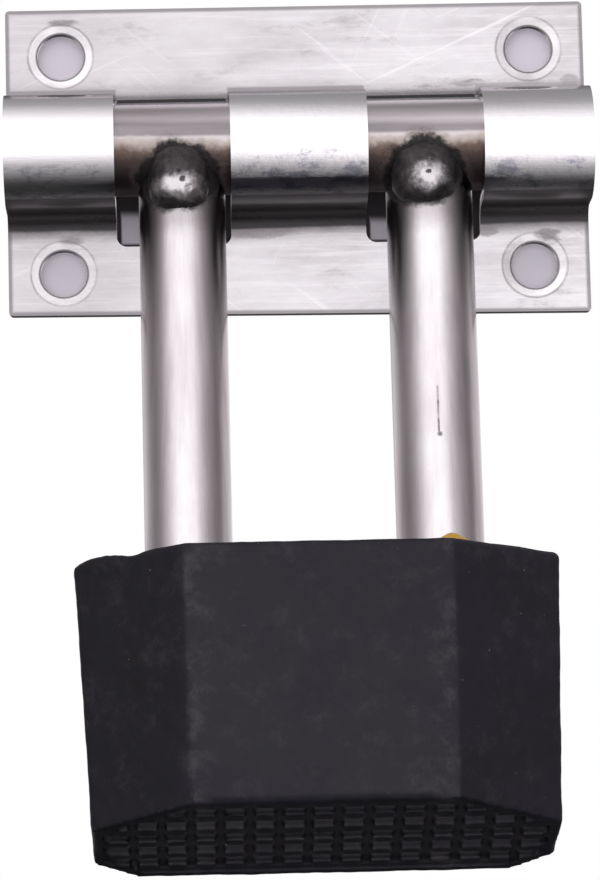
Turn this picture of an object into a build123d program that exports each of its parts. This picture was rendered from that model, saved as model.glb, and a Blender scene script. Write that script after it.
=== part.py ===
"""Hinged door stop: a pressed steel plate for the face of a door, with a rolled channel across it.
A round rod turns in the channel, and two round legs are welded to the rod through slots in the channel.
Both legs are glued into one rubber shoe with a studded sole.

Frame: the origin is the middle of the plate's back face, which lies on the door. +Z is up the door,
+X is to the right for someone facing the door, and the front of the part looks along -Y. Millimetres.
"""

import os
from math import cos, radians, sin, tan

from build123d import *

# Plate: one pressed sheet with a screw hole near each corner
plate_width = 68.0
plate_height = 37.1
sheet = 1.3
plate_corner_radius = 0.5
hole_spacing_x = 55.1
hole_spacing_z = 25.9
hole_radius = 2.75
countersink_radius = 3.9
countersink_angle = 150.0

# Hinge: the rod and the channel that is rolled round it
rod_radius = 5.3
rod_end_recess = 1.6
rod_end_chamfer = 0.6
rod_clearance = 0.05
rod_above_door = 1.1
rod_above_middle = 0.45
channel_bend_radius = 1.8

# Slots in the channel for the legs
slot_spacing = 29.2
slot_width = 13.4
slot_margin_top = 0.35
slot_margin_bottom = 3.7
slot_corner_radius_top = 0.6
slot_corner_radius_bottom = 1.2

# Legs: distances down a leg are measured from the rod's axis
leg_spacing = 28.6
leg_radius = 5.0
leg_tilt = 6.2
side_float = 0.7

# Weld on each leg: a domed bead in front, in the corner between the leg and the rod
bead_radius = 4.4
bead_forward = 2.8
bead_down = 4.85

# Rubber shoe: widths and depths at its top, which is square to the legs and reaches further in front of them
shoe_from_rod = 49.85
shoe_width = 54.6
shoe_in_front = 14.0
shoe_behind = 11.5
shoe_front_height = 28.9
shoe_front_width = 29.9
front_corner_depth = 8.6
back_corner_cut = 5.5
shoe_draft = 1.6
shoe_edge_radius = 0.8
sole_angle = 10.6

# Tread: studs left standing between two sets of grooves, inside a plain rim
stud_pitch_x = 3.35
stud_pitch_depth = 3.9
groove_width_x = 1.05
groove_width_depth = 2.1
groove_depth = 1.1
groove_count_x = 16
groove_count_depth = 6
tread_rim = 1.2
tread_set_back = 1.0

# Glue that holds the legs in their sockets
socket_depth = 21.0
glue_gap = 0.3
glue_floor = 0.6
glue_bead_width = 1.3
glue_bead_height = 1.0

# Worked out: the channel's section along the middle of the sheet, from the rod outwards
axis_out = rod_radius + rod_above_door
channel_mid_radius = rod_radius + rod_clearance + sheet / 2
bend_mid_radius = channel_bend_radius + sheet / 2
flange_y = -sheet / 2
bend_y = flange_y - bend_mid_radius
upper_flank = rod_above_middle + channel_mid_radius
lower_flank = rod_above_middle - channel_mid_radius
upper_bend = upper_flank + bend_mid_radius
lower_bend = lower_flank - bend_mid_radius
channel_front = axis_out + channel_mid_radius + sheet
slot_top = upper_flank + sheet / 2 + slot_margin_top
slot_bottom = lower_flank - sheet / 2 - slot_margin_bottom

# Worked out: the legs and the shoe
leg_direction = Vector(0, -sin(radians(leg_tilt)), -cos(radians(leg_tilt)))
leg_length = shoe_from_rod + socket_depth
socket_radius = leg_radius + glue_gap
shoe_depth = shoe_in_front + shoe_behind
sides = {"left": -leg_spacing / 2, "right": leg_spacing / 2}


def along_legs(x, down=0.0):
    """A plane square to the legs: its X is the part's X, its Y is the legs' front, its Z runs down the legs."""
    on_rod = Vector(x + side_float, -axis_out, rod_above_middle)
    return Plane(origin=on_rod + leg_direction * down, x_dir=(1, 0, 0), z_dir=leg_direction)


os.makedirs("parts", exist_ok=True)

# Base plate: flange, bend, flank, half round, flank, bend, flange as one line with the sheet's thickness
with BuildPart() as base_plate:
    with BuildSketch(Plane.YZ.offset(-plate_width / 2)):
        with BuildLine():
            Line((flange_y, plate_height / 2), (flange_y, upper_bend))
            CenterArc((bend_y, upper_bend), bend_mid_radius, 0, -90)
            Line((bend_y, upper_flank), (-axis_out, upper_flank))
            CenterArc((-axis_out, rod_above_middle), channel_mid_radius, 90, 180)
            Line((-axis_out, lower_flank), (bend_y, lower_flank))
            CenterArc((bend_y, lower_bend), bend_mid_radius, 90, -90)
            Line((flange_y, lower_bend), (flange_y, -plate_height / 2))
        trace(line_width=sheet)
    extrude(amount=plate_width)
    corners = base_plate.edges().filter_by(Axis.Y).group_by(SortBy.DISTANCE)[-1]
    fillet(corners, plate_corner_radius)
    with Locations(Plane((0, -sheet, 0), x_dir=(1, 0, 0), z_dir=(0, -1, 0))):
        with GridLocations(hole_spacing_x, hole_spacing_z, 2, 2):
            CounterSinkHole(hole_radius, countersink_radius, 2 * sheet, countersink_angle)
    with BuildSketch(Plane.XZ) as slots:
        with Locations((0, (slot_top + slot_bottom) / 2)):
            with GridLocations(slot_spacing, 0, 2, 1):
                Rectangle(slot_width, slot_top - slot_bottom)
        fillet(slots.vertices().group_by(Axis.Y)[-1], slot_corner_radius_top)
        fillet(slots.vertices().group_by(Axis.Y)[0], slot_corner_radius_bottom)
    extrude(amount=channel_front, mode=Mode.SUBTRACT)
base_plate.part.label = "base_plate"
export_step(base_plate.part, "parts/base_plate.step")

# Rod: runs through all three knuckles of the channel
with BuildPart() as pivot_rod:
    rod_half_length = plate_width / 2 - rod_end_recess
    with BuildSketch(Plane.YZ.offset(side_float - rod_half_length)):
        with Locations((-axis_out, rod_above_middle)):
            Circle(rod_radius)
    extrude(amount=2 * rod_half_length)
    chamfer(pivot_rod.edges().filter_by(GeomType.CIRCLE), rod_end_chamfer)
pivot_rod.part.label = "pivot_rod"
export_step(pivot_rod.part, "parts/pivot_rod.step")

for side, x in sides.items():
    # Leg: a round bar, saddled on the rod at its top
    with BuildPart() as leg:
        with BuildSketch(along_legs(x)):
            Circle(leg_radius)
        extrude(amount=leg_length)
        add(pivot_rod.part, mode=Mode.SUBTRACT)
    leg.part.label = f"{side}_leg"
    export_step(leg.part, f"parts/{side}_leg.step")

    # Weld: a ball less what it is run onto, the rod and the leg
    with BuildPart() as weld:
        square_to_leg = along_legs(x, bead_down)
        with Locations(square_to_leg.origin + square_to_leg.y_dir * bead_forward):
            Sphere(bead_radius)
        add(pivot_rod.part, mode=Mode.SUBTRACT)
        add(leg.part, mode=Mode.SUBTRACT)
    weld.part.label = f"{side}_weld"
    export_step(weld.part, f"parts/{side}_weld.step")

    # Glue: a cup round the leg's end, with a bead squeezed out on top of the shoe
    with BuildPart() as glue:
        with BuildSketch(along_legs(x, shoe_from_rod)):
            Circle(socket_radius)
        extrude(amount=socket_depth + glue_floor)
        with Locations(along_legs(x, shoe_from_rod - glue_bead_height)):
            from_its_start = (Align.CENTER, Align.CENTER, Align.MIN)
            Cone(socket_radius, leg_radius + glue_bead_width, glue_bead_height, align=from_its_start)
        add(leg.part, mode=Mode.SUBTRACT)
    glue.part.label = f"{side}_glue"
    export_step(glue.part, f"parts/{side}_glue.step")

# Outline of the shoe's top, with eight sides
with BuildSketch() as shoe_outline:
    half_width = shoe_width / 2
    with BuildLine():
        half_outline = Polyline(
            (0, shoe_in_front),
            (shoe_front_width / 2, shoe_in_front),
            (half_width, shoe_in_front - front_corner_depth),
            (half_width, back_corner_cut - shoe_behind),
            (half_width - back_corner_cut, -shoe_behind),
            (0, -shoe_behind),
        )
        mirror(half_outline, about=Plane.YZ)
    make_face()

# Rubber shoe: a block that narrows downwards, cut off at a slant for the sole
with BuildPart() as rubber_shoe:
    with BuildSketch(along_legs(0, shoe_from_rod)):
        add(shoe_outline.sketch_local)
    extrude(amount=shoe_front_height + shoe_depth, taper=shoe_draft)
    lowest_face = rubber_shoe.faces().sort_by(Axis.Z)[0]
    fillet(rubber_shoe.edges() - lowest_face.edges(), shoe_edge_radius)

    # The sole rises to the front, so its back edge is the lowest
    sole_down = shoe_front_height + shoe_in_front * tan(radians(sole_angle))
    sole = along_legs(0, shoe_from_rod + sole_down).rotated((-sole_angle, 0, 0))
    split(bisect_by=sole, keep=Keep.BOTTOM)

    # Grooves of the tread, in two directions, that end at the rim
    rim_inset = tread_rim + sole_down * tan(radians(shoe_draft))
    inside_rim = offset(shoe_outline.sketch_local, -rim_inset, kind=Kind.INTERSECTION, mode=Mode.PRIVATE)
    with BuildSketch(sole):
        with Locations((0, (shoe_in_front - shoe_behind) / 2 - tread_set_back)):
            with GridLocations(stud_pitch_x, 0, groove_count_x, 1):
                Rectangle(groove_width_x, 2 * shoe_depth)
            with GridLocations(0, stud_pitch_depth, 1, groove_count_depth):
                Rectangle(2 * shoe_width, groove_width_depth)
        add(inside_rim, mode=Mode.INTERSECT)
    extrude(amount=-groove_depth, mode=Mode.SUBTRACT)

    # Sockets for the two legs
    for x in sides.values():
        with BuildSketch(along_legs(x, shoe_from_rod)):
            Circle(socket_radius)
        extrude(amount=socket_depth + glue_floor, mode=Mode.SUBTRACT)
rubber_shoe.part.label = "rubber_shoe"
export_step(rubber_shoe.part, "parts/rubber_shoe.step")
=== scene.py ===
"""Looks of a hinged door stop: a pressed steel plate, a rod that turns in its channel, two welded legs
and a rubber shoe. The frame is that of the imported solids, in metres: +Z up the door, -Y the front.
Tables and sizes in millimetres say so in their comments."""

import math

import bmesh
import bpy
from mathutils import Matrix, Vector, noise


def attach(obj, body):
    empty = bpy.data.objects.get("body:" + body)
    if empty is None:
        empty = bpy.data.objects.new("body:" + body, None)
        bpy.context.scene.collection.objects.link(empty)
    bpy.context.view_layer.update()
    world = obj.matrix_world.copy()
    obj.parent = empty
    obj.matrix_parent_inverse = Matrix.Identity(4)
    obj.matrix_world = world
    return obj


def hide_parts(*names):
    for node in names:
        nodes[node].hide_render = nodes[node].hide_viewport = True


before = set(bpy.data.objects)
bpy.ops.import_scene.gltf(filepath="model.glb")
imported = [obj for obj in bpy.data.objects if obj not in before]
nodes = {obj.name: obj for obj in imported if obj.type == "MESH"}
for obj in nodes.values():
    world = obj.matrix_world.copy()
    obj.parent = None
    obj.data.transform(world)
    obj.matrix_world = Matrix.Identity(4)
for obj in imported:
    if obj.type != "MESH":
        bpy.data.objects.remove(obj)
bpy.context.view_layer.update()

# Sizes that the pieces share with the solids
MM = 0.001
ROD_AXIS = Vector((0, -6.4, 0.45)) * MM
LEG_TILT = math.radians(6.2)
LEG_DOWN = Vector((0, -math.sin(LEG_TILT), -math.cos(LEG_TILT)))
LEG_FRONT = Vector((0, -math.cos(LEG_TILT), math.sin(LEG_TILT)))
LEG_RADIUS = 5.0 * MM
LEG_X = {"left": -13.6 * MM, "right": 15.0 * MM}
SHOE_FROM_ROD = 49.85 * MM
SOLE_ANGLE = math.radians(10.6)

# Shoe, in millimetres: where its middle is, its height in front and its reach in front of the legs' axes
SHOE_MIDDLE_X = 0.7
SHOE_FRONT_HEIGHT = 28.9
SHOE_IN_FRONT = 14.0

# Tread inside the sole's rim, in millimetres from the shoe's middle and from the legs' axes. From
# TREAD_CORNER outwards its front edge slopes back. Its grooves are less deep than TREAD_DEPTH
TREAD_HALF_WIDTH = 24.5
TREAD_BACK = -9.0
TREAD_FRONT = 11.5
TREAD_CORNER = 14.5
TREAD_CORNER_SLOPE = 0.7
TREAD_DEPTH = 1.5

# Worn left front corner of the shoe's top, in millimetres: depth, place across from the middle, and width
WORN_CORNER = [(0.5, -27.3, 1.2), (-0.12, -24.5, 2.0), (0.35, -20.6, 1.3)]

# Plate: half its width and height. Its lower edge is straight at the right, and rises by a slope from
# LOWER_EDGE_STRAIGHT_TO to the left
PLATE_HALF_WIDTH = 34.0 * MM
PLATE_HALF_HEIGHT = 18.55 * MM
LOWER_EDGE_SLOPE = 0.7 / 64
LOWER_EDGE_STRAIGHT_TO = 30.0 * MM

# Slots: how far their middles are from the plate's middle, half their width, and their lower end
SLOT_X = 14.6 * MM
SLOT_HALF_WIDTH = 6.7 * MM
SLOT_BOTTOM = -9.9 * MM

# Screw holes: how far they are from the plate's middle, and how wide their countersinks are
HOLE_X = 27.55 * MM
HOLE_Z = 12.95 * MM
COUNTERSINK_RADIUS = 3.9 * MM

# Smudges on the flanges, in millimetres: right of and up from the middle, half width, half height, strength
SMUDGES = [
    (19.3, 8.9, 5.4, 0.9, 0.75),
    (-27.3, 16.95, 1.7, 0.55, 0.8),
    (32.2, 8.9, 1.4, 1.0, 0.6),
    (29.3, -9.6, 1.8, 1.0, 0.85),
    (-26.4, -8.9, 1.7, 0.7, 0.7),
    (22.0, -8.8, 1.3, 0.7, 0.7),
    (-4.5, -8.6, 3.5, 0.8, 0.6),
]

# Weld beads, in millimetres. The middle: across from the leg, in front of the leg's axis and down from the
# rod's axis. The radii go the same three ways. The burnished patch: how far to the right and up from the
# middle, half its width and half its height. The pits: how far to the right and up from the middle
BEADS = {
    "left": {
        "across": -0.3,
        "forward": 2.8,
        "down": 4.85,
        "radii": (3.5, 4.4, 4.05),
        "patch": (0.0, -1.15, 3.4, 1.75),
        "pits": [(0.0, 0.5), (0.45, -0.35)],
    },
    "right": {
        "across": -0.6,
        "forward": 2.8,
        "down": 4.75,
        "radii": (3.8, 4.1, 3.85),
        "patch": (0.4, -0.55, 2.2, 1.8),
        "pits": [(0.25, -0.1)],
    },
}


def by_leg(side, across, forward, down):
    """A point near a leg, from distances in metres across it, in front of its axis and down from the rod."""
    beside_rod = Vector((LEG_X[side] + across, 0, 0))
    return ROD_AXIS + beside_rod + LEG_FRONT * forward + LEG_DOWN * down


# The lump of clean glue on the right leg: how far round from the leg's front, in radians, and where
GLUE_LUMP_TURN = 0.2
GLUE_LUMP = by_leg(
    "right",
    math.sin(GLUE_LUMP_TURN) * LEG_RADIUS,
    math.cos(GLUE_LUMP_TURN) * LEG_RADIUS,
    SHOE_FROM_ROD - 1.0 * MM,
)


def bead_middle(side):
    """The middle of a weld bead."""
    bead = BEADS[side]
    return by_leg(side, bead["across"] * MM, bead["forward"] * MM, bead["down"] * MM)


class Shading:
    """A node tree under construction, with short calls for the nodes that the materials use."""

    def __init__(self, tree):
        self.tree = tree

    def put(self, socket, value):
        """Links a socket, or sets its value."""
        if isinstance(value, bpy.types.NodeSocket):
            self.tree.links.new(value, socket)
        else:
            socket.default_value = value

    def add(self, kind, inputs=None, output=0, **settings):
        """Adds a node and returns one of its outputs."""
        node = self.tree.nodes.new("ShaderNode" + kind)
        for name, value in settings.items():
            setattr(node, name, value)
        for name, value in (inputs or {}).items():
            self.put(node.inputs[name], value)
        return node.outputs[output]

    def math(self, operation, first, second=0.0):
        """One operation on two numbers, or on the first alone."""
        return self.add("Math", {0: first, 1: second}, operation=operation)

    def plus(self, first, second):
        """The sum of two numbers."""
        return self.math("ADD", first, second)

    def minus(self, first, second):
        """The difference of two numbers."""
        return self.math("SUBTRACT", first, second)

    def times(self, first, second):
        """The product of two numbers."""
        return self.math("MULTIPLY", first, second)

    def off(self, value, middle):
        """How far a number is from another, either way."""
        return self.math("ABSOLUTE", self.minus(value, middle))

    def fade(self, value, start, end, low=0.0, high=1.0):
        """A smooth step from low at start to high at end."""
        inputs = {0: value, 1: start, 2: end, 3: low, 4: high}
        return self.add("MapRange", inputs, interpolation_type="SMOOTHSTEP")

    def ramp(self, value, stops):
        """A colour ramp from pairs of a place and a colour or a grey."""
        out = self.add("ValToRGB", {0: value})
        elements = out.node.color_ramp.elements
        while len(elements) < len(stops):
            elements.new(1.0)
        for element, (place, colour) in zip(elements, stops):
            element.position = place
            grey = isinstance(colour, float)
            element.color = (colour,) * 3 + (1.0,) if grey else tuple(colour) + (1.0,)
        return out

    def mix(self, share, first, second):
        """A blend of two colours."""
        first = first if isinstance(first, bpy.types.NodeSocket) else tuple(first) + (1.0,)
        second = second if isinstance(second, bpy.types.NodeSocket) else tuple(second) + (1.0,)
        return self.add("Mix", {0: share, 6: first, 7: second}, output=2, data_type="RGBA")

    def noise(self, place, scale, detail=4.0, roughness=0.55, stretch=(1.0, 1.0, 1.0), offset=0.0):
        """A cloudy pattern, finer along the axes where stretch is larger."""
        moved = self.add("Mapping", {"Vector": place, "Scale": stretch, "Location": (offset,) * 3})
        inputs = {"Vector": moved, "Scale": scale, "Detail": detail, "Roughness": roughness}
        return self.add("TexNoise", inputs)

    def distance(self, place, point):
        """How far a place is from a point."""
        return self.add("VectorMath", {0: place, 1: tuple(point)}, output="Value", operation="DISTANCE")


class Finish(Shading):
    """A material with one Principled shader, made in the frame's coordinates."""

    def __init__(self, name):
        self.material = bpy.data.materials.new(name)
        self.material.use_nodes = True
        super().__init__(self.material.node_tree)
        self.shader = self.tree.nodes["Principled BSDF"]
        self.place = self.add("TexCoord", output="Object")
        apart = self.add("SeparateXYZ", {0: self.place}).node
        self.x, self.y, self.z = apart.outputs

    def set(self, **values):
        """Sets or links the shader's sockets, whose names have underscores for spaces here."""
        for name, value in values.items():
            self.put(self.shader.inputs[name.replace("_", " ")], value)

    def ellipse(self, right, up, half_width, half_height):
        """Seen from the front, the square of how far a place is from an ellipse's middle: 1 on its edge."""
        wide = self.times(self.minus(self.x, right), 1 / half_width)
        high = self.times(self.minus(self.z, up), 1 / half_height)
        return self.plus(self.times(wide, wide), self.times(high, high))

    def from_weld(self):
        """How far a place is from the middle of the nearest weld bead."""
        left, right = (self.distance(self.place, bead_middle(side)) for side in BEADS)
        return self.math("MINIMUM", left, right)

    def bump(self, height, distance, strength=1.0):
        """Raises the surface by a height pattern, by up to a distance in metres."""
        before = self.shader.inputs["Normal"].links
        inputs = {"Height": height, "Distance": distance, "Strength": strength}
        if before:
            inputs["Normal"] = before[0].from_socket
        self.set(Normal=self.add("Bump", inputs))


def satin_sheet(steel, clouds, wipes):
    """Colour of the sheet: cloudy, streaked, wiped and scratched in three directions, with painted shade to
    the left.
    """
    streaks = steel.noise(steel.place, 60, 7, 0.7, (1, 6, 24), 3.0)
    satin = steel.ramp(
        clouds,
        [(0.28, (0.47, 0.455, 0.465)), (0.48, (0.62, 0.61, 0.62)), (0.70, (0.735, 0.73, 0.735))],
    )
    satin = steel.mix(steel.fade(streaks, 0.46, 0.66, 0.0, 0.55), satin, (0.78, 0.77, 0.78))
    satin = steel.mix(steel.fade(wipes, 0.56, 0.72, 0.0, 0.6), satin, (0.36, 0.34, 0.35))
    for turn, offset in ((24, 1.0), (-38, 5.0), (63, 9.0)):
        turned = steel.add("Mapping", {"Vector": steel.place, "Rotation": (0, math.radians(turn), 0)})
        scratches = steel.noise(turned, 900, 3, 0.6, (0.035, 1, 1), offset)
        satin = steel.mix(steel.fade(scratches, 0.62, 0.74, 0.0, 0.5), satin, (0.86, 0.85, 0.86))
    # Painted shade: the sheet grows darker to the left
    return steel.mix(steel.fade(steel.x, -34 * MM, 12 * MM, 0.36, 0.0), satin, (0.40, 0.38, 0.39))


def with_countersinks(steel, colour, clouds, wipes):
    """Adds a grey line of painted shade where each countersink starts, a bright ring of painted highlight
    and a dark line of painted shade at the hole's edge.
    """
    off_hole_x = steel.minus(steel.math("ABSOLUTE", steel.x), HOLE_X)
    off_hole_z = steel.minus(steel.math("ABSOLUTE", steel.z), HOLE_Z)
    off_hole = steel.add("CombineXYZ", {0: off_hole_x, 1: off_hole_z})
    from_hole = steel.add("VectorMath", {0: off_hole}, output="Value", operation="LENGTH")
    # Painted highlight: a bright ring in each countersink
    ring = steel.fade(from_hole, COUNTERSINK_RADIUS - 0.05 * MM, COUNTERSINK_RADIUS - 0.3 * MM)
    uneven_highlight_ring = steel.times(ring, steel.fade(clouds, 0.38, 0.56, 0.3, 0.8))
    colour = steel.mix(uneven_highlight_ring, colour, (0.94, 0.93, 0.94))
    # Painted shade: a grey line where each countersink starts
    rim_shade_line = steel.times(
        steel.fade(from_hole, COUNTERSINK_RADIUS - 0.22 * MM, COUNTERSINK_RADIUS - 0.04 * MM),
        steel.fade(from_hole, COUNTERSINK_RADIUS + 0.16 * MM, COUNTERSINK_RADIUS + 0.02 * MM),
    )
    broken_rim_shade = steel.times(rim_shade_line, steel.fade(wipes, 0.40, 0.60, 0.12, 0.6))
    colour = steel.mix(broken_rim_shade, colour, (0.25, 0.24, 0.25))
    # Painted shade: a dark line at the hole's edge
    return steel.mix(steel.fade(from_hole, 3.02 * MM, 2.86 * MM, 0.0, 0.85), colour, (0.10, 0.095, 0.10))


def with_edge_line(steel, colour):
    """Adds a grey line along the sheared edges."""
    askew = steel.times(steel.minus(LOWER_EDGE_STRAIGHT_TO, steel.x), LOWER_EDGE_SLOPE)
    low_edge = steel.minus(steel.math("MAXIMUM", askew, 0.0), PLATE_HALF_HEIGHT)
    from_low = steel.minus(steel.z, low_edge)
    from_top = steel.minus(PLATE_HALF_HEIGHT, steel.z)
    from_end = steel.minus(PLATE_HALF_WIDTH, steel.math("ABSOLUTE", steel.x))
    from_edge = steel.math("MINIMUM", from_end, steel.math("MINIMUM", from_low, from_top))
    return steel.mix(steel.fade(from_edge, 0.65 * MM, 0.25 * MM, 0.0, 0.8), colour, (0.20, 0.19, 0.195))


def under_channel(steel):
    """Share of the plate that is below the channel."""
    return steel.fade(steel.z, -5.4 * MM, -5.65 * MM)


def with_smudges(steel, colour, smear, wipes):
    """Adds painted shade on the flange under the channel, a weaker painted shade on the flange and bend
    above the channel, and the smudges.
    """
    height = steel.plus(steel.z, smear)
    # Painted shade on the flange under the channel
    haze = steel.times(under_channel(steel), steel.fade(height, -9.9 * MM, -7.8 * MM, 0.0, 0.85))
    colour = steel.mix(haze, colour, (0.12, 0.11, 0.115))
    # Painted shade above the channel, in the flange and the bend; the smudges add to it
    smudge_and_shade = steel.times(
        steel.fade(height, 10.4 * MM, 8.2 * MM, 0.0, 0.45),
        steel.fade(steel.z, 6.7 * MM, 7.2 * MM),
    )
    patchy = steel.times(steel.minus(wipes, 0.5), 7.0)
    for *sizes, strength in SMUDGES:
        inside = steel.plus(steel.ellipse(*(size * MM for size in sizes)), patchy)
        smudge_and_shade = steel.math("MAXIMUM", smudge_and_shade, steel.fade(inside, 1.4, 0.2, 0.0, strength))
    return steel.mix(smudge_and_shade, colour, (0.22, 0.205, 0.21))


def painted_underside_shade(steel, smear):
    """Share and colour of the painted shade under the channel and in its lower bend: grey on the channel's
    lower side and near black in the bend.
    """
    ragged = steel.plus(steel.z, steel.times(smear, 0.25))
    share = steel.times(under_channel(steel), steel.fade(ragged, -8.15 * MM, -7.75 * MM))
    in_bend = steel.fade(steel.z, -6.3 * MM, -7.1 * MM)
    return share, steel.mix(in_bend, (0.15, 0.138, 0.146), (0.030, 0.027, 0.029))


def stained_mirror(steel):
    """Colour of the channel: blue-grey stains below its middle, and lower on the outer knuckles."""
    outer = steel.fade(steel.math("ABSOLUTE", steel.x), 18.0 * MM, 22.0 * MM, 0.0, 1.5 * MM)
    stains = steel.noise(steel.place, 330, 7, 0.72, (0.6, 1, 1), 13.0)
    stained = steel.times(
        steel.fade(steel.plus(steel.z, outer), -0.4 * MM, -1.6 * MM),
        steel.fade(stains, 0.48, 0.60, 0.0, 0.8),
    )
    return steel.mix(stained, (0.86, 0.85, 0.86), (0.34, 0.35, 0.42))


def knuckles_below_flange(steel, front):
    """Share of the knuckles and of the bend above them where shade is painted, most of all at the left and
    in the middle.
    """
    off_slot = steel.off(steel.math("ABSOLUTE", steel.x), SLOT_X)
    on_knuckle = steel.times(
        steel.fade(off_slot, SLOT_HALF_WIDTH - 0.3 * MM, SLOT_HALF_WIDTH),
        steel.fade(steel.x, 20.0 * MM, 14.0 * MM, 0.55, 0.9),
    )
    below_flange = steel.times(front, steel.fade(steel.z, 9.05 * MM, 8.75 * MM))
    return steel.times(on_knuckle, below_flange)


def plate_steel():
    """Stainless sheet: satin, smeared and scratched on the flanges, polished on the rolled channel."""
    steel = Finish("plate_steel")
    front = steel.fade(steel.y, -0.4 * MM, -0.8 * MM)
    polished = steel.fade(steel.y, -2.4 * MM, -4.2 * MM)
    clouds = steel.noise(steel.place, 80, 6, 0.62, (0.6, 1, 1.3))
    wipes = steel.noise(steel.place, 190, 7, 0.72, (0.5, 1, 1.5), 7.0)
    smear = steel.times(steel.minus(clouds, 0.5), 3.0 * MM)

    # Only the front has the marks and the painted light and shade
    plain = satin_sheet(steel, clouds, wipes)
    marked = with_countersinks(steel, plain, clouds, wipes)
    marked = with_edge_line(steel, marked)
    marked = with_smudges(steel, marked, smear, wipes)
    satin = steel.mix(front, plain, marked)
    # Painted shade under the channel, where the sheet is also less metallic
    underside_shade_share, underside_shade_colour = painted_underside_shade(steel, smear)
    underside_shade_share = steel.times(underside_shade_share, front)
    colour = steel.mix(underside_shade_share, steel.mix(polished, satin, stained_mirror(steel)), underside_shade_colour)

    # Painted shade, grey, on top of the knuckles and in the bend above them. The tops mirror less at a
    # glancing angle
    knuckles = knuckles_below_flange(steel, front)
    painted_top_shade = steel.times(knuckles, steel.fade(steel.z, 6.55 * MM, 6.85 * MM))
    dimmed = steel.times(knuckles, steel.fade(steel.z, 5.7 * MM, 6.2 * MM))

    # The channel is smoother than the flanges, but not along its lower side
    lower_side = steel.times(polished, steel.fade(steel.z, -4.2 * MM, -5.5 * MM, 0.0, 0.2))
    roughness = steel.plus(steel.fade(polished, 0.0, 1.0, 0.27, 0.11), lower_side)
    steel.set(
        Base_Color=steel.mix(painted_top_shade, colour, (0.27, 0.255, 0.265)),
        Specular_Tint=steel.mix(dimmed, (1.0, 1.0, 1.0), (0.30, 0.28, 0.30)),
        Metallic=steel.fade(underside_shade_share, 0.0, 1.0, 1.0, 0.35),
        Roughness=steel.plus(roughness, steel.times(steel.minus(wipes, 0.5), 0.2)),
    )
    relief = steel.times(
        steel.noise(steel.place, 520, 5, 0.66, (1, 1, 1.6), 1.0),
        steel.fade(polished, 0.0, 1.0, 1.0, 0.3),
    )
    steel.bump(relief, 0.05 * MM, 0.9)
    steel.bump(steel.noise(steel.place, 1500, 3, 0.6, (0.25, 1, 3), 2.0), 0.012 * MM, 0.6)
    return steel.material


def rod_steel():
    """Drawn steel with a band of painted shade just above its middle. Heat has coloured it straw, brown and
    black near the welds, most of all its lower half."""
    steel = Finish("rod_steel")
    place = steel.place
    grain = steel.noise(place, 700, 4, 0.6, (0.12, 1, 1))
    bare = steel.ramp(grain, [(0.3, (0.56, 0.52, 0.53)), (0.7, (0.72, 0.68, 0.69))])
    sloping = steel.plus(steel.z, steel.times(steel.x, 0.022))
    # Painted shade in a band just above the middle
    shaded_band = steel.times(
        steel.fade(steel.z, 0.7 * MM, 1.2 * MM),
        steel.fade(sloping, 3.1 * MM, 2.0 * MM, 0.0, 0.95),
    )
    shaded_band_colour = steel.ramp(grain, [(0.3, (0.22, 0.20, 0.208)), (0.7, (0.29, 0.268, 0.277))])
    bare = steel.mix(shaded_band, bare, shaded_band_colour)
    nearest = steel.from_weld()
    uneven = steel.minus(steel.noise(place, 480, 5, 0.65, offset=5.0), 0.5)
    reach = steel.plus(nearest, steel.times(uneven, 2.6 * MM))
    height = steel.plus(steel.z, steel.times(uneven, 2.2 * MM))
    heat = steel.ramp(
        steel.add("MapRange", {0: height, 1: -4.0 * MM, 2: 1.5 * MM}),
        [
            (0.00, (0.095, 0.073, 0.075)),
            (0.24, (0.100, 0.076, 0.075)),
            (0.45, (0.115, 0.085, 0.076)),
            (0.58, (0.19, 0.14, 0.115)),
            (0.72, (0.46, 0.405, 0.365)),
            (0.88, (0.56, 0.515, 0.495)),
        ],
    )
    colour = steel.mix(steel.fade(height, 0.4 * MM, 1.1 * MM), heat, bare)
    colour = steel.mix(steel.fade(nearest, 8.5 * MM, 12.0 * MM), colour, bare)
    sooted = steel.fade(reach, 5.3 * MM, 4.6 * MM)
    steel.set(
        Base_Color=steel.mix(sooted, colour, (0.014, 0.012, 0.012)),
        Metallic=steel.fade(reach, 4.6 * MM, 6.2 * MM, 0.35, 1.0),
        Roughness=steel.fade(height, -1.0 * MM, 1.5 * MM, 0.50, 0.28),
    )
    steel.bump(grain, 0.012 * MM, 0.4)
    spatter = steel.fade(steel.noise(place, 1500, 4, 0.7, offset=9.0), 0.45, 0.75)
    steel.bump(steel.times(spatter, steel.fade(reach, 6.5 * MM, 5.0 * MM)), 0.10 * MM, 0.6)
    return steel.material


def leg_scratch(steel):
    """Share of one broken hairline down the front of the right leg, with a nick at its foot."""
    line = steel.fade(steel.off(steel.x, LEG_X["right"] - 0.05 * MM), 0.17 * MM, 0.06 * MM)
    length = steel.fade(steel.off(steel.z, -31.8 * MM), 2.9 * MM, 2.6 * MM)
    broken = steel.fade(steel.noise(steel.place, 700, 3, 0.6, offset=6.0), 0.38, 0.55, 0.5, 1.0)
    hairline = steel.times(steel.times(line, length), broken)
    from_nick = steel.distance(steel.place, by_leg("right", 0.05 * MM, 4.99 * MM, 35.9 * MM))
    nick = steel.fade(from_nick, 0.40 * MM, 0.15 * MM)
    in_front = steel.fade(steel.y, -8.0 * MM, -9.0 * MM)
    return steel.times(steel.math("MAXIMUM", hairline, nick), in_front)


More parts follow.
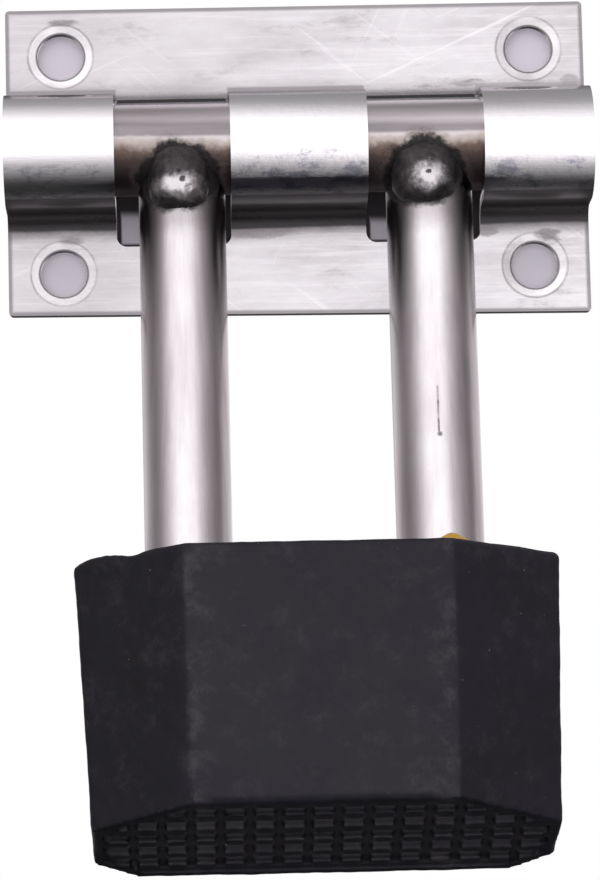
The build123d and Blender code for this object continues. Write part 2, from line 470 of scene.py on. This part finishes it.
def leg_steel():
    """Polished bar with lengthwise grain, dark scale at its weld, painted shade under the weld and on its
    upper sides, and one scratch.
    """
    steel = Finish("leg_steel")
    place = steel.place
    grain = steel.noise(place, 900, 4, 0.6, (1, 1, 0.02))
    haze = steel.noise(place, 130, 5, 0.6, (1, 1, 0.45), 4.0)
    bare = steel.ramp(grain, [(0.3, (0.64, 0.615, 0.625)), (0.7, (0.80, 0.78, 0.785))])
    bare = steel.mix(steel.fade(haze, 0.45, 0.7, 0.0, 0.5), bare, (0.90, 0.885, 0.89))
    uneven = steel.minus(steel.noise(place, 420, 5, 0.65, offset=2.0), 0.5)
    reach = steel.plus(steel.from_weld(), steel.times(uneven, 2.4 * MM))
    scale = steel.fade(reach, 5.0 * MM, 4.0 * MM)
    # Painted shade, darker towards the weld bead
    bare = steel.mix(steel.fade(reach, 8.4 * MM, 4.9 * MM, 0.0, 0.5), bare, (0.24, 0.22, 0.225))
    # Painted shade on the sides of the legs, in their upper parts
    off_left, off_right = (steel.off(steel.x, leg_x) for leg_x in LEG_X.values())
    to_side = steel.fade(steel.math("MINIMUM", off_left, off_right), 1.6 * MM, 3.8 * MM)
    side_shade = steel.times(to_side, steel.fade(steel.z, -25.0 * MM, -8.0 * MM, 0.0, 0.85))
    bare = steel.mix(side_shade, bare, (0.05, 0.042, 0.04))
    colour = steel.mix(scale, bare, (0.020, 0.017, 0.017))
    steel.set(
        Base_Color=steel.mix(steel.times(leg_scratch(steel), 0.8), colour, (0.08, 0.07, 0.07)),
        Metallic=steel.fade(scale, 0.0, 1.0, 1.0, 0.3),
        Roughness=steel.fade(scale, 0.0, 1.0, 0.24, 0.62),
    )
    steel.bump(grain, 0.010 * MM, 0.4)
    steel.bump(steel.noise(place, 300, 2, 0.5, (1, 1, 0.3), 8.0), 0.03 * MM, 0.3)
    return steel.material


def weld_metal():
    """Charcoal weld bead: matt scale with a burnished patch in front and small pits."""
    weld = Finish("weld_metal")
    grain = weld.noise(weld.place, 900, 5, 0.7)
    scale = weld.ramp(grain, [(0.3, (0.030, 0.027, 0.028)), (0.75, (0.115, 0.106, 0.110))])
    patches = []
    for side, bead in BEADS.items():
        middle = bead_middle(side)
        right, up, half_width, half_height = (size * MM for size in bead["patch"])
        patch = weld.ellipse(middle.x + right, middle.z + up, half_width, half_height)
        patches.append(weld.math("SQRT", patch))
    uneven = weld.minus(weld.noise(weld.place, 700, 6, 0.72, offset=3.0), 0.5)
    near = weld.plus(weld.math("MINIMUM", *patches), weld.times(uneven, 1.7))
    burnished = weld.fade(near, 1.15, 0.25)
    colour = weld.mix(burnished, scale, (0.66, 0.64, 0.65))
    seen_from_front = weld.add("CombineXYZ", {0: weld.x, 2: weld.z})
    for side, bead in BEADS.items():
        for right, up in bead["pits"]:
            pit = bead_middle(side) + Vector((right, 0, up)) * MM
            pit.y = 0
            off_pit = weld.plus(weld.distance(seen_from_front, pit), weld.times(uneven, 1.3 * MM))
            in_pit = weld.fade(off_pit, 0.40 * MM, 0.18 * MM, 0.0, 0.9)
            colour = weld.mix(in_pit, colour, (0.02, 0.018, 0.02))
    weld.set(
        Base_Color=colour,
        Metallic=weld.fade(burnished, 0.0, 1.0, 0.5, 1.0),
        Roughness=weld.fade(burnished, 0.0, 1.0, 0.46, 0.30),
    )
    weld.bump(grain, 0.08 * MM, 0.5)
    return weld.material


def black_rubber():
    """Moulded black rubber: matt, with a fine grain, worn edges, pale dusty scuffs and a few specks. It has
    painted shade left of the front, painted highlights on the studs' edges and painted light in the grooves.
    """
    rubber = Finish("black_rubber")
    place = rubber.place
    worn_grey = (0.065, 0.063, 0.070)
    clouds = rubber.noise(place, 90, 6, 0.65)
    grain = rubber.noise(place, 2600, 3, 0.6)
    dust = rubber.noise(place, 260, 8, 0.78, offset=6.0)
    specks = rubber.noise(place, 1300, 2, 0.5, offset=11.0)

    # Cloudy, darker left of the front as painted shade, and dusty
    colour = rubber.ramp(clouds, [(0.3, (0.0085, 0.0080, 0.0138)), (0.7, (0.0165, 0.0155, 0.0250))])
    shaded = rubber.fade(rubber.x, -13.5 * MM, -16.0 * MM, 0.0, 0.6)
    colour = rubber.mix(shaded, colour, (0.0030, 0.0028, 0.0052))
    colour = rubber.mix(rubber.fade(dust, 0.48, 0.76, 0.0, 0.6), colour, (0.050, 0.048, 0.055))

    # Worn on all edges, and a painted highlight on the edges of the studs
    edge_wear_and_highlight = rubber.fade(rubber.add("NewGeometry", output="Pointiness"), 0.515, 0.60)
    worn = rubber.times(edge_wear_and_highlight, rubber.fade(dust, 0.38, 0.62, 0.0, 0.35))
    colour = rubber.mix(worn, colour, worn_grey)
    on_tread = rubber.add("Attribute", output="Fac", attribute_name="on_tread")
    stud_edge_highlight = rubber.times(on_tread, rubber.times(edge_wear_and_highlight, 0.55))
    colour = rubber.mix(stud_edge_highlight, colour, (0.085, 0.082, 0.090))

    # Scuffed along the two upright edges of the front
    off_middle = rubber.off(rubber.x, SHOE_MIDDLE_X * MM)
    along_edges = rubber.times(
        rubber.fade(off_middle, 11.0 * MM, 14.4 * MM),
        rubber.fade(off_middle, 15.1 * MM, 14.7 * MM),
    )
    scuffed = rubber.times(along_edges, rubber.fade(dust, 0.44, 0.66, 0.0, 0.5))
    colour = rubber.mix(scuffed, colour, worn_grey)

    # Painted light in the grooves, a pale grey, and specks
    in_groove = rubber.add("Attribute", output="Fac", attribute_name="in_groove")
    colour = rubber.mix(in_groove, colour, (0.038, 0.036, 0.042))
    colour = rubber.mix(rubber.fade(specks, 0.775, 0.80, 0.0, 0.8), colour, (0.24, 0.23, 0.22))
    rubber.set(
        Base_Color=colour,
        Roughness=rubber.fade(clouds, 0.3, 0.7, 0.56, 0.70),
        Specular_IOR_Level=0.42,
    )
    rubber.bump(grain, 0.05 * MM, 0.35)
    rubber.bump(rubber.noise(place, 500, 4, 0.6, offset=1.0), 0.08 * MM, 0.3)
    return rubber.material


def amber_glue():
    """Hard glue: amber where it is clean, at the lump on the right leg, and dirty elsewhere."""
    glue = Finish("glue")
    clouds = glue.noise(glue.place, 700, 4, 0.6)
    amber = glue.ramp(clouds, [(0.3, (0.62, 0.34, 0.04)), (0.7, (0.85, 0.55, 0.12))])
    lump = glue.fade(glue.distance(glue.place, GLUE_LUMP), 3.2 * MM, 2.0 * MM)
    glue.set(
        Base_Color=glue.mix(lump, (0.05, 0.035, 0.02), amber),
        Roughness=glue.fade(clouds, 0.3, 0.7, 0.22, 0.4),
    )
    glue.bump(clouds, 0.08 * MM, 0.4)
    return glue.material


FINISHES = {
    "plate_steel": plate_steel(),
    "rod_steel": rod_steel(),
    "leg_steel": leg_steel(),
    "weld_metal": weld_metal(),
    "black_rubber": black_rubber(),
    "glue": amber_glue(),
}


def dress(obj, slot):
    """Gives a piece one of the finishes."""
    obj.data.materials.clear()
    obj.data.materials.append(FINISHES[slot])


def piece(name, mesh, body, slot, *stands_for):
    """Makes a piece of the part from a mesh, which rides on a body and stands for solids."""
    obj = bpy.data.objects.new(name, mesh)
    bpy.context.scene.collection.objects.link(obj)
    dress(obj, slot)
    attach(obj, body)
    if stands_for:
        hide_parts(*stands_for)
    return obj


def mesh_of(name, work):
    """A mesh from a bmesh, with smooth shading."""
    mesh = bpy.data.meshes.new(name)
    work.to_mesh(mesh)
    work.free()
    mesh.shade_smooth()
    return mesh


def solid_copy(node):
    """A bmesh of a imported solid, with its doubled corners joined."""
    work = bmesh.new()
    work.from_mesh(nodes[node].data)
    bmesh.ops.remove_doubles(work, verts=work.verts, dist=0.0005 * MM)
    return work


def join_flat_faces(work):
    """Joins faces that lie in one plane."""
    bmesh.ops.dissolve_limit(work, angle_limit=math.radians(0.4), verts=work.verts, edges=work.edges)


def make_plate():
    """The plate with its edges softened, as a tumbled pressing has them. Its lower edge is cut a little
    askew, so it is shorter at the left."""
    lower_strip = -17.5 * MM
    sharp = math.radians(13)
    work = solid_copy("base_plate")
    for vert in work.verts:
        if vert.co.z < lower_strip:
            vert.co.z += LOWER_EDGE_SLOPE * max(0.0, LOWER_EDGE_STRAIGHT_TO - vert.co.x)
    join_flat_faces(work)
    for edge in work.edges:
        edge.smooth = edge.calc_face_angle(0.0) < sharp
    plate = piece("plate_sheet", mesh_of("plate_sheet", work), "base", "plate_steel", "base_plate")
    bevel = plate.modifiers.new("soft_edges", "BEVEL")
    bevel.width = 0.30 * MM
    bevel.segments = 3
    bevel.limit_method = "ANGLE"
    bevel.angle_limit = math.radians(35)
    bevel.harden_normals = True
    plate.modifiers.new("even_shading", "WEIGHTED_NORMAL").keep_sharp = True


def make_weld(side):
    """A domed bead with ripples and pits, flatter in front than a ball and sagging to its lower lip."""
    squareness = 2.6
    sag_depth = 0.35 * MM
    middle = bead_middle(side)
    across, forward, down = (radius * MM for radius in BEADS[side]["radii"])
    work = bmesh.new()
    bmesh.ops.create_icosphere(work, subdivisions=5, radius=1.0)
    for vert in work.verts:
        ray = vert.co.normalized()
        seed = ray * 2.0 + Vector((LEG_X[side] / MM, 0, 0))
        swell = 0.05 * noise.noise(seed) + 0.02 * noise.noise(seed * 4)
        pits = max(0.0, noise.noise(seed * 5 + Vector((3, 1, 7))) - 0.45)
        flatter = sum(abs(part) ** squareness for part in ray) ** (-1 / squareness)
        size = (1 + swell - 0.22 * pits) * flatter
        sag = sag_depth * max(0.0, ray.y) * ray.z
        vert.co = middle + Vector((ray.x * across, 0, 0)) * size + LEG_FRONT * sag
        vert.co += LEG_FRONT * (ray.y * forward * size) + LEG_DOWN * (ray.z * down * size)
    bmesh.ops.recalc_face_normals(work, faces=work.faces)
    name = side + "_weld_bead"
    piece(name, mesh_of(name, work), "leg_frame", "weld_metal", side + "_weld")


def bell(value, middle, width):
    """A smooth bump of height 1."""
    return math.exp(-(((value - middle) / width) ** 2))


def moulding_flaws(place):
    """How far a place on the shoe moves, in metres, and how rough it is, in millimetres: the left front
    corner is rounded off at the top and the left side leans in."""
    side_height = 28
    half_width = 27
    off_rod = place - ROD_AXIS
    across = place.x / MM - SHOE_MIDDLE_X
    forward = off_rod.dot(LEG_FRONT) / MM
    under_top = max(0.0, (off_rod.dot(LEG_DOWN) - SHOE_FROM_ROD) / MM)
    in_front = min(1.0, max(0.0, forward / 4.0))
    corner = sum(depth * bell(across, worn_at, width) for depth, worn_at, width in WORN_CORNER)
    sink = corner * bell(under_top, 0.0, 2.2) * in_front
    lean = 0.75 * min(1.0, under_top / side_height) * max(0.0, -across / half_width)
    rough = 0.12 * bell(across, -24.0, 4.0) * bell(under_top, 0.0, 3.0) * in_front
    return LEG_DOWN * (sink * MM) + Vector((lean * MM, 0, 0)), rough


def depth_in_tread(place):
    """How far a place on the tread is above the sole's plane, in millimetres, or None outside the tread."""
    off_rod = place - ROD_AXIS
    across = abs(place.x / MM - SHOE_MIDDLE_X)
    forward = off_rod.dot(LEG_FRONT) / MM
    on_sole = SHOE_FROM_ROD / MM + SHOE_FRONT_HEIGHT + (SHOE_IN_FRONT - forward) * math.tan(SOLE_ANGLE)
    above_sole = on_sole - off_rod.dot(LEG_DOWN) / MM
    front_edge = TREAD_FRONT - max(0.0, across - TREAD_CORNER) * TREAD_CORNER_SLOPE
    inside_rim = across < TREAD_HALF_WIDTH and TREAD_BACK < forward < front_edge
    return above_sole if inside_rim and above_sole < TREAD_DEPTH else None


def groove_share(depth):
    """How much a depth in the tread counts as groove: nothing up to 0.18 mm, and all of it from 1.08 mm."""
    return 0.0 if depth is None else min(1.0, max(0.0, depth / 0.9 - 0.2))


def store(mesh, name, values):
    """Stores a number for each corner of a mesh, for its material."""
    mesh.attributes.new(name, "FLOAT", "POINT").data.foreach_set("value", values)


def soften_sole_edge(work):
    """Rounds the edge between the shoe's walls and its sole, which is far below the middle of its wall.
    The studs' edges stay."""
    far_below = 4 * MM
    join_flat_faces(work)
    outline = []
    for edge in work.edges:
        soles = [face for face in edge.link_faces if face.normal.dot(LEG_DOWN) > 0.9]
        walls = [face for face in edge.link_faces if abs(face.normal.dot(LEG_DOWN)) < 0.3]
        if soles and walls:
            middle = (edge.verts[0].co + edge.verts[1].co) / 2
            below_wall_middle = (middle - walls[0].calc_center_median()).dot(LEG_DOWN)
            if below_wall_middle > far_below:
                outline.append(edge)
    bmesh.ops.bevel(work, geom=outline, offset=1.0 * MM, segments=4, profile=0.5, affect="EDGES")


def make_shoe():
    """The shoe, remeshed so that its moulded edges are soft and uneven."""
    work = solid_copy("rubber_shoe")
    soften_sole_edge(work)
    shoe = piece("shoe", mesh_of("shoe", work), "leg_frame", "black_rubber", "rubber_shoe")
    remesh = shoe.modifiers.new("even_mesh", "REMESH")
    remesh.mode = "VOXEL"
    remesh.voxel_size = 0.30 * MM
    smooth = shoe.modifiers.new("soft_edges", "SMOOTH")
    smooth.factor = 0.5
    smooth.iterations = 2
    graph = bpy.context.evaluated_depsgraph_get()
    shaped = bpy.data.meshes.new_from_object(shoe.evaluated_get(graph))
    shoe.modifiers.clear()
    shoe.data = shaped
    for vert, way in zip(shaped.vertices, [v.normal.copy() for v in shaped.vertices]):
        place = vert.co / MM
        lift = 0.10 * noise.noise(place * 0.16) + 0.05 * noise.noise(place * 0.7)
        move, rough = moulding_flaws(vert.co)
        lift += rough * noise.noise(place * 1.2)
        vert.co += way * (lift * MM) + move
    depths = [depth_in_tread(vert.co) for vert in shaped.vertices]
    store(shaped, "on_tread", [0.0 if depth is None else 1.0 for depth in depths])
    store(shaped, "in_groove", [groove_share(depth) for depth in depths])
    shaped.shade_smooth()
    dress(shoe, "black_rubber")


def make_glue(side):
    """Glue squeezed out round a leg, higher on one side. Its section is a row of points: how much they
    follow the unevenness, how far they are out from the leg and how high, in millimetres."""
    steps = 96
    rows = [(0.0, 0.32, -2.2), (0.5, 1.0, -0.02), (0.75, 0.95, 0.25)]
    rows += [(0.9, 0.6, 0.7), (1.0, 0.25, 1.0), (1.0, 0.02, 1.05)]
    lump_height = 1.5 if side == "right" else 0.0
    work = bmesh.new()
    rings = []
    for share, width, height in rows:
        ring = []
        for step in range(steps):
            turn = 2 * math.pi * step / steps
            way = Vector((math.sin(turn), math.cos(turn), 0))
            wobble = noise.noise(way * 2.2 + Vector((LEG_X[side] / MM, 0, 0)))
            lump = bell((turn + math.pi) % (2 * math.pi) - math.pi, GLUE_LUMP_TURN, 0.38)
            climb = 1 + share * (0.5 * wobble + lump_height * lump)
            out = LEG_RADIUS + width * MM * (1 + 0.4 * wobble * share)
            down = SHOE_FROM_ROD - height * MM * (climb if height > 0 else 1.0)
            ring.append(work.verts.new(by_leg(side, way.x * out, way.y * out, down)))
        rings.append(ring)
    for lower, upper in zip(rings, rings[1:] + rings[:1]):
        for step in range(steps):
            following = (step + 1) % steps
            work.faces.new((lower[step], lower[following], upper[following], upper[step]))
    bmesh.ops.recalc_face_normals(work, faces=work.faces)
    name = side + "_glue_bead"
    piece(name, mesh_of(name, work), "leg_frame", "glue", side + "_glue")


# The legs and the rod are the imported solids. The other pieces don't mirror the legs
make_plate()
make_shoe()
for side in LEG_X:
    make_weld(side)
    make_glue(side)
    dress(nodes[side + "_leg"], "leg_steel")
    nodes[side + "_leg"].visible_glossy = False
dress(nodes["pivot_rod"], "rod_steel")


def make_floor():
    """A plain pale floor, well below the part, which the part neither mirrors nor gets light from."""
    half_size = 3.0
    height = -0.2
    work = bmesh.new()
    bmesh.ops.create_grid(work, x_segments=1, y_segments=1, size=half_size)
    bmesh.ops.translate(work, verts=work.verts, vec=(0, 0, height))
    floor = bpy.data.objects.new("floor", mesh_of("floor", work))
    bpy.context.scene.collection.objects.link(floor)
    pale = Finish("floor")
    pale.set(Base_Color=(0.86, 0.86, 0.86, 1.0), Roughness=0.8)
    floor.data.materials.append(pale.material)
    floor.visible_glossy = False
    floor.visible_diffuse = False


def light_by_turn(sky, turn, lights):
    """Light by an angle in radians, from pairs of an angle in degrees and a light."""
    share = sky.plus(sky.times(turn, 0.5 / math.pi), 0.5)
    return sky.ramp(share, [((degrees + 180) / 360, light) for degrees, light in lights])


def make_studio():
    """White behind the part, and a soft studio for light and reflections: bright in front and above,
    dark below and at the sides. Its bright field slopes down a little to the right."""
    world = bpy.data.worlds.new("studio")
    bpy.context.scene.world = world
    world.use_nodes = True
    sky = Shading(world.node_tree)
    apart = sky.add("SeparateXYZ", {0: sky.add("TexCoord", output="Generated")}).node
    x, y, z = apart.outputs
    front = sky.times(y, -1.0)

    # An arc from the back, under the part to the front and over its top to the back again
    slope = sky.times(sky.add("Clamp", {0: x, 1: 0.0, 2: 0.09}), 4.2)
    arc = [(-180, 0.06), (-140, 0.06), (-128, 0.08), (-118, 0.08), (-110, 0.03), (-100, 0.02), (-80, 0.03)]
    arc += [(-72, 0.05), (-65, 0.095), (-58, 0.15), (-52, 0.22), (-44, 0.29), (-38, 0.40), (-32, 0.50)]
    arc += [(-26, 0.64), (-20, 0.80), (-14, 1.0), (52, 1.0), (70, 0.69), (84, 0.48), (98, 0.31)]
    arc += [(116, 0.25), (146, 0.22), (167, 0.22), (173, 0.30), (180, 0.85)]
    ahead = light_by_turn(sky, sky.plus(sky.math("ARCTAN2", z, front), slope), arc)

    # A ring from the back round the left, the front and the right, which counts at the sides
    ring = [(-180, 0.80), (-156, 0.60), (-114, 0.24), (-100, 0.17), (-88, 0.16), (-69, 0.27), (-51, 0.52)]
    ring += [(-36, 0.84), (-24, 1.0), (14, 1.0), (22, 0.86), (30, 0.68), (45, 0.42), (62, 0.26)]
    ring += [(84, 0.15), (98, 0.17), (108, 0.36), (137, 0.50), (165, 0.70), (180, 0.80)]
    level = light_by_turn(sky, sky.math("ARCTAN2", x, front), ring)
    aside = sky.times(level, sky.fade(z, -0.42, -0.18, 0.08, 1.0))
    to_side = sky.fade(sky.math("ABSOLUTE", x), 0.15, 0.5)
    light = sky.add("Mix", {0: to_side, 2: ahead, 3: aside}, output=0)

    # Dim light from the sides is a little redder
    studio = sky.tree.nodes["Background"]
    dim_side = sky.times(to_side, sky.minus(1.0, light))
    sky.put(studio.inputs["Color"], sky.mix(dim_side, (1.0, 0.965, 0.995), (1.0, 0.90, 0.95)))
    sky.put(studio.inputs["Strength"], sky.times(light, 1.36))
    backdrop = sky.add("Background", {"Color": (1, 1, 1, 1), "Strength": 1.0})
    seen = sky.add("LightPath", output="Is Camera Ray")
    both = sky.add("MixShader", {0: seen, 1: studio.outputs[0], 2: backdrop})
    sky.put(sky.tree.nodes["World Output"].inputs["Surface"], both)


def make_fill_light():
    """A weak soft light from below, for the sole. It makes no highlights."""
    data = bpy.data.lights.new("fill", "AREA")
    data.size = 0.5
    data.energy = 0.35
    fill = bpy.data.objects.new("fill", data)
    fill.location = (0, -0.35, -0.45)
    sole = Vector((0, -0.02, -0.07))
    fill.rotation_euler = (sole - fill.location).to_track_quat("-Z", "Y").to_euler()
    fill.visible_glossy = False
    bpy.context.scene.collection.objects.link(fill)


def make_camera():
    """The photograph's view, worked out from the plate's corners, its holes and the shoe."""
    place = Vector((-13.33, -500, -104.2)) * MM
    frame_height = 880
    focal = 4334.4
    yaw = math.radians(1.48)
    pitch = math.radians(8.109)
    roll = math.radians(-1.354)
    ahead = Vector((math.sin(yaw) * math.cos(pitch), math.cos(yaw) * math.cos(pitch), math.sin(pitch)))
    level = Vector((math.cos(yaw), -math.sin(yaw), 0))
    upright = level.cross(ahead)
    right = level * math.cos(roll) + upright * math.sin(roll)
    up = upright * math.cos(roll) - level * math.sin(roll)
    data = bpy.data.cameras.new("camera")
    data.sensor_fit = "VERTICAL"
    data.sensor_height = 36.0
    data.lens = focal * data.sensor_height / frame_height
    data.clip_start = 0.01
    camera = bpy.data.objects.new("camera", data)
    axes = Matrix((right, up, -ahead)).transposed().to_4x4()
    camera.matrix_world = Matrix.Translation(place) @ axes
    bpy.context.scene.collection.objects.link(camera)
    bpy.context.scene.camera = camera


def make_backing():
    """The pale surface that the plate lies on, as it shows through the holes and slots from the front.
    It has painted shadow behind the rod and close under it, along the slots' lower ends and left sides, and
    to the right of each leg. It is seen from its front only, so the plate's back stays in view from behind."""
    half_width = 33 * MM
    half_height = 17 * MM
    behind_plate = 0.2 * MM
    corners = [(-half_width, -half_height), (half_width, -half_height)]
    corners += [(half_width, half_height), (-half_width, half_height)]
    work = bmesh.new()
    work.faces.new([work.verts.new((x, behind_plate, z)) for x, z in corners])
    backing = bpy.data.objects.new("backing", mesh_of("backing", work))
    bpy.context.scene.collection.objects.link(backing)
    pale = Finish("backing")
    sloping = pale.plus(pale.z, pale.times(pale.x, 0.04))
    # Painted shadow: behind the rod and close under it, along the slots' lower ends and left sides, right of
    # each leg
    dark = pale.fade(sloping, -7.2 * MM, -6.0 * MM)
    dark = pale.math("MAXIMUM", dark, pale.fade(pale.z, SLOT_BOTTOM + 0.75 * MM, SLOT_BOTTOM + 0.4 * MM))
    for slot_x in (-SLOT_X, SLOT_X):
        from_side = pale.off(pale.x, slot_x - SLOT_HALF_WIDTH)
        dark = pale.math("MAXIMUM", dark, pale.fade(from_side, 0.7 * MM, 0.4 * MM))
    for leg_x in LEG_X.values():
        right_of_leg = pale.times(
            pale.fade(pale.x, leg_x - 2 * MM, leg_x),
            pale.fade(pale.x, leg_x + 9 * MM, leg_x + 8 * MM),
        )
        dark = pale.math("MAXIMUM", dark, right_of_leg)

    # The holes near the plate's ends and the slots' upper ends show it pale
    dark = pale.times(dark, pale.fade(pale.math("ABSOLUTE", pale.x), 24 * MM, 23 * MM))
    dark = pale.times(dark, pale.fade(pale.z, 7.0 * MM, 5.5 * MM))
    colour = pale.mix(dark, (0.88, 0.85, 0.93), (0.05, 0.045, 0.05))
    pale.set(Base_Color=colour, Roughness=0.8)
    from_behind = pale.add("NewGeometry", output="Backfacing")
    clear = pale.add("BsdfTransparent")
    both = pale.add("MixShader", {0: from_behind, 1: pale.shader.outputs[0], 2: clear})
    pale.put(pale.tree.nodes["Material Output"].inputs["Surface"], both)
    backing.data.materials.append(pale.material)
    backing.visible_glossy = False
    backing.visible_diffuse = False
    backing.visible_shadow = False


make_floor()
make_backing()
make_studio()
make_fill_light()
make_camera()
bpy.context.scene.view_settings.view_transform = "Standard"
